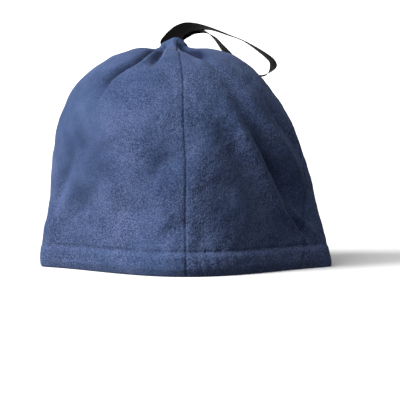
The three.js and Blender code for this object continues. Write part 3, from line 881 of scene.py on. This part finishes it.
@dataclass
class RibbonLoop:
    """The satin ribbon, from the tip over the crown to the far bend of its loop and back."""

    steps: int = 460
    across: int = 22
    thickness: float = 0.42
    selvedge: float = 1.0
    selvedge_extra: float = 0.16
    cup: float = 0.35

    def profile(self) -> tuple[Array, Array]:
        """The ribbon's section, over its upper face and back along the lower one.

        The two faces lie half the thickness either side of a middle that bends by the cup's depth. They are
        a little further apart in the selvedges and meet at the edges.

        Returns:
            Each point's place across the ribbon, from -1 to 1, and its height.
        """
        place = np.sin(np.linspace(-math.pi / 2, math.pi / 2, self.across))
        edge = bump((1 - np.abs(place)) * RIBBON_WIDTH / 2 / self.selvedge)
        half = (self.thickness + self.selvedge_extra * edge) / 2 * (np.abs(place) < 0.999)
        middle = self.cup * (1 - place**2)
        back = slice(-2, 0, -1)
        return np.concatenate([place, place[back]]), np.concatenate([middle + half, (middle - half)[back]])

    def build(self, material: Material) -> None:
        """Makes the ribbon in its node's place: its profile, carried along the curve of RIBBON_SECTIONS.

        Args:
            material: the satin.
        """
        sections = np.array(RIBBON_SECTIONS)
        middles, (heading, dip) = sections[:, :3], np.radians(sections[:, 3:]).T
        level = np.cos(dip)
        widths = np.stack([np.cos(heading) * level, np.sin(heading) * level, -np.sin(dip)], axis=-1)
        share = np.linspace(0, len(middles) - 1, self.steps)
        centre, width = catmull(middles, share), unit(catmull(widths, share))
        face = unit(np.cross(unit(np.gradient(centre, axis=0)), width))
        place, height = self.profile()
        across = place * RIBBON_WIDTH / 2
        points = centre + width * across[:, None, None] + face * height[:, None, None]
        marks = {"across": np.repeat(across, self.steps), "along": np.tile(run_along(centre), len(across))}
        faces = tube_quads(len(across), self.steps)
        piece = make_piece("satin_ribbon", points.reshape(-1, 3), faces, material, marks)
        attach(piece, "root")
        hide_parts("ribbon_loop")


# Finishes


def linear(colour: str) -> tuple[float, float, float, float]:
    """An sRGB hex colour as linear red, green, blue and alpha."""
    parts = [int(colour[i : i + 2], 16) / 255 for i in (1, 3, 5)]
    return (*(c / 12.92 if c <= 0.04045 else ((c + 0.055) / 1.055) ** 2.4 for c in parts), 1.0)


def per_metre(size_mm: float) -> float:
    """How many times a pattern of a size in millimetres fits in a metre, which is what its scale means."""
    return 1000 / size_mm


def add_node(tree: NodeTree, kind: str, settings: dict | None = None, links: dict | None = None) -> Node:
    """Adds a node to a material.

    Args:
        tree: the material's nodes.
        kind: the node's type, without the word ShaderNode before it.
        settings: values for the node's properties, or for its inputs by name or number.
        links: for an input by name or number, an output, or a node whose first output is meant.

    Returns:
        The new node.
    """
    node = tree.nodes.new(f"ShaderNode{kind}")
    for key, value in (settings or {}).items():
        if isinstance(key, int) or key in node.inputs:
            node.inputs[key].default_value = value
        else:
            setattr(node, key, value)
    for key, source in (links or {}).items():
        output = source.outputs[0] if isinstance(source, Node) else source
        tree.links.new(output, node.inputs[key])
    return node


def new_material(name: str) -> tuple[Material, NodeTree, NodeSocket]:
    """An empty material, its node tree, and the output that gives places on a piece in metres."""
    material = bpy.data.materials.new(name)
    material.use_nodes = True
    tree = material.node_tree
    tree.nodes.clear()
    return material, tree, add_node(tree, "TexCoord").outputs["Object"]


@dataclass(frozen=True)
class BrushedFleece:
    """Polyester fleece, knitted and then brushed to a short dense nap.

    The nap scatters light, so the eye sees a matt cloth with a pale bloom at glancing angles, a mottle of
    light and dark tufts one to two millimetres wide, and broad patches where the nap lies another way.
    """

    light: str = "#5a658a"
    mid: str = "#3b4b6d"
    dark: str = "#202d4a"
    # the dark blue mixed in as painted shade in the seams, along the stitches and in the folds and creases
    painted_shade: str = "#0f1630"
    bloom: str = "#a9b6e0"
    tuft_mm: float = 1.5
    grain_mm: float = 0.8
    patch_mm: float = 40.0
    nap_mm: float = 45.0
    tuft_share: float = 1.0
    grain_share: float = 0.7
    patch_share: float = 0.52
    least_nap: float = 0.55
    most_nap: float = 1.1
    tuft_depth: float = 0.0006
    grain_depth: float = 0.00028

    def material(self) -> Material:
        """Makes the material.

        The colour goes from dark to light with a level. It is the mottle of tufts and grain times the nap's
        roughness, plus the broad patches. The nap is rougher in some places than in others, on the whole as
        the attribute nap says. A dark colour is then mixed in as painted shade in the seams' grooves, along
        the stitches' dent and in the folds and creases.
        """
        material, tree, place = new_material("brushed_polyester_fleece")
        tufts, grain, patches, area = (
            add_node(tree, "TexNoise", {2: per_metre(size), 3: detail, 4: rough}, {0: place})
            for size, detail, rough in (
                (self.tuft_mm, 3, 0.65),
                (self.grain_mm, 2, 0.6),
                (self.patch_mm, 4, 0.6),
                (self.nap_mm, 1, 0.5),
            )
        )
        nap, painted_shade = (
            add_node(tree, "Attribute", {"attribute_name": name}).outputs["Fac"]
            for name in ("nap", "painted_shade")
        )
        span = {1: 0.35, 2: 0.65, 3: self.least_nap, 4: self.most_nap}
        uneven = add_node(tree, "MapRange", span, {0: area})
        rough = add_node(tree, "Math", {"operation": "MULTIPLY"}, {0: nap, 1: uneven})
        # every noise lies about 0.5, so the mottle is moved to lie about 0 and the patches about 0.5
        even, middle = -(self.tuft_share + self.grain_share) / 2, 0.5 - self.patch_share / 2
        add = {"operation": "MULTIPLY_ADD"}
        tufted = add_node(tree, "Math", add | {1: self.tuft_share, 2: even}, {0: tufts})
        mottle = add_node(tree, "Math", add | {1: self.grain_share}, {0: grain, 2: tufted})
        broad = add_node(tree, "Math", add | {1: self.patch_share, 2: middle}, {0: patches})
        level = add_node(tree, "Math", add, {0: mottle, 1: rough, 2: broad})
        ramp = add_node(tree, "ValToRGB", links={0: level})
        stops = ramp.color_ramp.elements
        stops.new(0.5)
        for stop, position, colour in zip(stops, (0.25, 0.5, 0.75), (self.dark, self.mid, self.light)):
            stop.position, stop.color = position, linear(colour)
        # the colours of a Mix node are its inputs 6 and 7 and its output 2
        # the second colour is the painted shade, mixed in as far as its attribute says
        mix = {"data_type": "RGBA", 7: linear(self.painted_shade)}
        colour = add_node(tree, "Mix", mix, {0: painted_shade, 6: ramp}).outputs[2]
        fine = add_node(tree, "Bump", {"Distance": self.grain_depth}, {"Height": grain, "Strength": rough})
        links = {"Height": tufts, "Strength": rough, "Normal": fine}
        coarse = add_node(tree, "Bump", {"Distance": self.tuft_depth}, links)
        sheen = {"Sheen Weight": 0.12, "Sheen Roughness": 0.5, "Sheen Tint": linear(self.bloom)}
        matt = {"Roughness": 0.95, "Specular IOR Level": 0.15}
        shader = add_node(tree, "BsdfPrincipled", matt | sheen, {"Base Color": colour, "Normal": coarse})
        add_node(tree, "OutputMaterial", links={"Surface": shader})
        return material


@dataclass(frozen=True)
class LiningCloth:
    """Plain woven polyester lining, dyed black: the eye sees a matt dark cloth with a faint even weave."""

    dark: str = "#0d0e11"
    light: str = "#1b1c20"
    thread_mm: float = 0.6

    def material(self) -> Material:
        """Makes the material, with a pattern two threads wide."""
        material, tree, place = new_material("plain_woven_polyester_lining")
        scale = per_metre(2 * self.thread_mm)
        weave = add_node(tree, "TexNoise", {"Scale": scale, "Detail": 2.0}, {0: place})
        ramp = add_node(tree, "ValToRGB", links={0: weave})
        for stop, colour in zip(ramp.color_ramp.elements, (self.dark, self.light)):
            stop.color = linear(colour)
        relief = add_node(tree, "Bump", {"Strength": 0.3, "Distance": 0.0002}, {"Height": weave})
        matt = {"Roughness": 0.75, "Specular IOR Level": 0.3}
        shader = add_node(tree, "BsdfPrincipled", matt, {"Base Color": ramp, "Normal": relief})
        add_node(tree, "OutputMaterial", links={"Surface": shader})
        return material


@dataclass(frozen=True)
class SatinRibbon:
    """Woven polyester satin ribbon, dyed black, with a plain woven selvedge along both edges.

    Long floats lie side by side along it, so the eye sees a soft streaked gloss and a duller narrow border.
    """

    face: str = "#030303"
    streak: str = "#0b0a0a"
    rib_mm: float = 0.9
    streak_stretch: float = 0.04
    selvedge_mm: float = 1.1
    selvedge_blur_mm: float = 0.2
    face_rough: float = 0.62
    selvedge_rough: float = 0.8

    def material(self) -> Material:
        """Makes the material. Its ribs are coarser than the real threads, so that they show."""
        material, tree, _ = new_material("woven_polyester_satin")
        across, along = (
            add_node(tree, "Attribute", {"attribute_name": name}).outputs["Fac"]
            for name in ("across", "along")
        )
        stretched = add_node(tree, "Math", {"operation": "MULTIPLY", 1: self.streak_stretch}, {0: along})
        place = add_node(tree, "CombineXYZ", links={0: across, 1: stretched})
        threads = add_node(tree, "TexNoise", {"Scale": 1 / self.rib_mm, "Detail": 3.0}, {0: place})
        ramp = add_node(tree, "ValToRGB", links={0: threads})
        for stop, position, colour in zip(ramp.color_ramp.elements, (0.35, 0.75), (self.face, self.streak)):
            stop.position, stop.color = position, linear(colour)
        from_middle = add_node(tree, "Math", {"operation": "ABSOLUTE"}, {0: across})
        edge = RIBBON_WIDTH / 2 - self.selvedge_mm
        span = {1: edge, 2: edge + self.selvedge_blur_mm, 3: self.face_rough, 4: self.selvedge_rough}
        gloss = add_node(tree, "MapRange", span, {0: from_middle})
        relief = add_node(tree, "Bump", {"Strength": 0.25, "Distance": 0.0002}, {"Height": threads})
        links = {"Base Color": ramp, "Roughness": gloss, "Normal": relief}
        shader = add_node(tree, "BsdfPrincipled", {"Specular IOR Level": 0.03}, links)
        add_node(tree, "OutputMaterial", links={"Surface": shader})
        return material


@dataclass(frozen=True)
class SewingThread:
    """Spun polyester thread in the fleece's blue: a fine matt line, a little darker than the nap."""

    colour: str = "#3a4570"
    twist_mm: float = 0.4

    def material(self) -> Material:
        """Makes the material."""
        material, tree, place = new_material("spun_polyester_thread")
        twist = add_node(tree, "TexNoise", {"Scale": per_metre(self.twist_mm), "Detail": 1.0}, {0: place})
        relief = add_node(tree, "Bump", {"Strength": 0.3, "Distance": 0.0001}, {"Height": twist})
        matt = {"Base Color": linear(self.colour), "Roughness": 0.7, "Sheen Weight": 0.2}
        shader = add_node(tree, "BsdfPrincipled", matt, {"Normal": relief})
        add_node(tree, "OutputMaterial", links={"Surface": shader})
        return material


@dataclass(frozen=True)
class MattPaper:
    """The backdrop's uncoated white paper: the eye sees an even pale ground with no gloss."""

    colour: str = "#fcfcfc"
    grain_mm: float = 10 / 3

    def material(self) -> Material:
        """Makes the material."""
        material, tree, place = new_material("matt_paper")
        grain = add_node(tree, "TexNoise", {"Scale": per_metre(self.grain_mm)}, {0: place})
        relief = add_node(tree, "Bump", {"Strength": 0.02, "Distance": 0.0005}, {"Height": grain})
        matt = {"Base Color": linear(self.colour), "Roughness": 0.9, "Specular IOR Level": 0.1}
        shader = add_node(tree, "BsdfPrincipled", matt, {"Normal": relief})
        add_node(tree, "OutputMaterial", links={"Surface": shader})
        return material


# The studio


@dataclass
class Studio:
    """The plain pale floor, the soft lights and the camera at the photograph's angle to the hat."""

    target: tuple[float, float, float] = (0.0139, 0.0, 0.066)
    distance: float = 1.5
    elevation: float = 3.0
    view_width: float = 0.396
    sensor_width_mm: float = 36.0
    surround_light: float = 0.17
    surround_seen: float = 1.0
    floor_front: float = 3000.0
    floor_back: float = 2000.0
    bend_radius: float = 1000.0
    backdrop_height: float = 4000.0

    def camera(self) -> None:
        """Makes the camera and points it at the target."""
        data = bpy.data.cameras.new("camera")
        data.sensor_width = self.sensor_width_mm
        data.lens = self.sensor_width_mm * self.distance / self.view_width
        camera = add_object("camera", data)
        rise = math.radians(self.elevation)
        back = Vector((0, -math.cos(rise), math.sin(rise)))
        camera.location = Vector(self.target) + back * self.distance
        camera.rotation_euler = (-back).to_track_quat("-Z", "Y").to_euler()
        bpy.context.scene.camera = camera

    def sun(self, name: str, way: tuple[float, float, float], spread: float, power: float) -> None:
        """Adds an even light that shines along a direction, as wide in degrees as its spread."""
        data = bpy.data.lights.new(name, "SUN")
        data.angle = math.radians(spread)
        data.energy = power
        add_object(name, data).rotation_euler = Vector(way).to_track_quat("-Z", "Y").to_euler()

    def lights(self) -> None:
        """A wide key light from the left, a weaker one from the front, and a pale surround.

        The surround is seen as bright as it is here by the camera alone, and casts less light.
        """
        self.sun("key_light", (0.82, 0.42, -0.5), 30.0, 5.1)
        self.sun("front_light", (0.35, 0.55, -0.8), 40.0, 1.8)
        world = bpy.data.worlds.new("pale_surround")
        bpy.context.scene.world = world
        world.use_nodes = True
        tree = world.node_tree
        tree.nodes.clear()
        seen, cast = (
            add_node(tree, "Background", {"Color": linear("#ffffff"), "Strength": strength})
            for strength in (self.surround_seen, self.surround_light)
        )
        to_camera = add_node(tree, "LightPath").outputs["Is Camera Ray"]
        mixed = add_node(tree, "MixShader", links={0: to_camera, 1: cast, 2: seen})
        add_node(tree, "OutputWorld", links={"Surface": mixed})

    def floor(self, material: Material) -> None:
        """A floor that curves up into a backdrop: flat, then a quarter circle, then upright.

        Args:
            material: the paper. It casts no light back up on the hat.
        """
        bend = np.radians(np.linspace(0, 90, 25))
        circle = np.stack([np.sin(bend), 1 - np.cos(bend)], axis=-1) * self.bend_radius
        end = [self.floor_back + self.bend_radius, self.backdrop_height]
        line = np.concatenate([[[-self.floor_front, 0.0]], circle + [self.floor_back, 0.0], [end]])
        sides = np.array([-self.backdrop_height, self.backdrop_height])
        grid = np.stack(np.broadcast_arrays(sides[:, None], line[None, :, 0], line[None, :, 1]), axis=-1)
        faces = grid_quads(grid_numbers(*grid.shape[:2]))[:, ::-1]
        piece = make_piece("paper_sweep", grid.reshape(-1, 3), faces, material)
        piece.visible_diffuse = False
        piece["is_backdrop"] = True


def main() -> None:
    """Builds the hat piece by piece, then the studio."""
    logging.basicConfig(level=logging.INFO, format="%(message)s")
    studio = Studio()
    studio.camera()
    form = HatForm()
    fleece = BrushedFleece().material()
    for i, gore in enumerate(Gore):
        GorePanel(form, gore, SEAMS[i], SEAMS[(i + 1) % len(SEAMS)]).build(fleece)
    HemStitching(form).build(SewingThread().material())
    Lining(form).build(LiningCloth().material())
    RibbonLoop().build(SatinRibbon().material())
    studio.floor(MattPaper().material())
    studio.lights()
    bpy.context.scene.view_settings.view_transform = "Standard"
    sizes = {
        "cad_box": [list(corner) for corner in CAD_BOX],
        "visual_box": [list(corner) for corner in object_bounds()],
    }
    for name, box in sizes.items():
        LOG.info("%s: %s", name, [[round(value, 4) for value in corner] for corner in box])


if __name__ == "__main__":
    main()
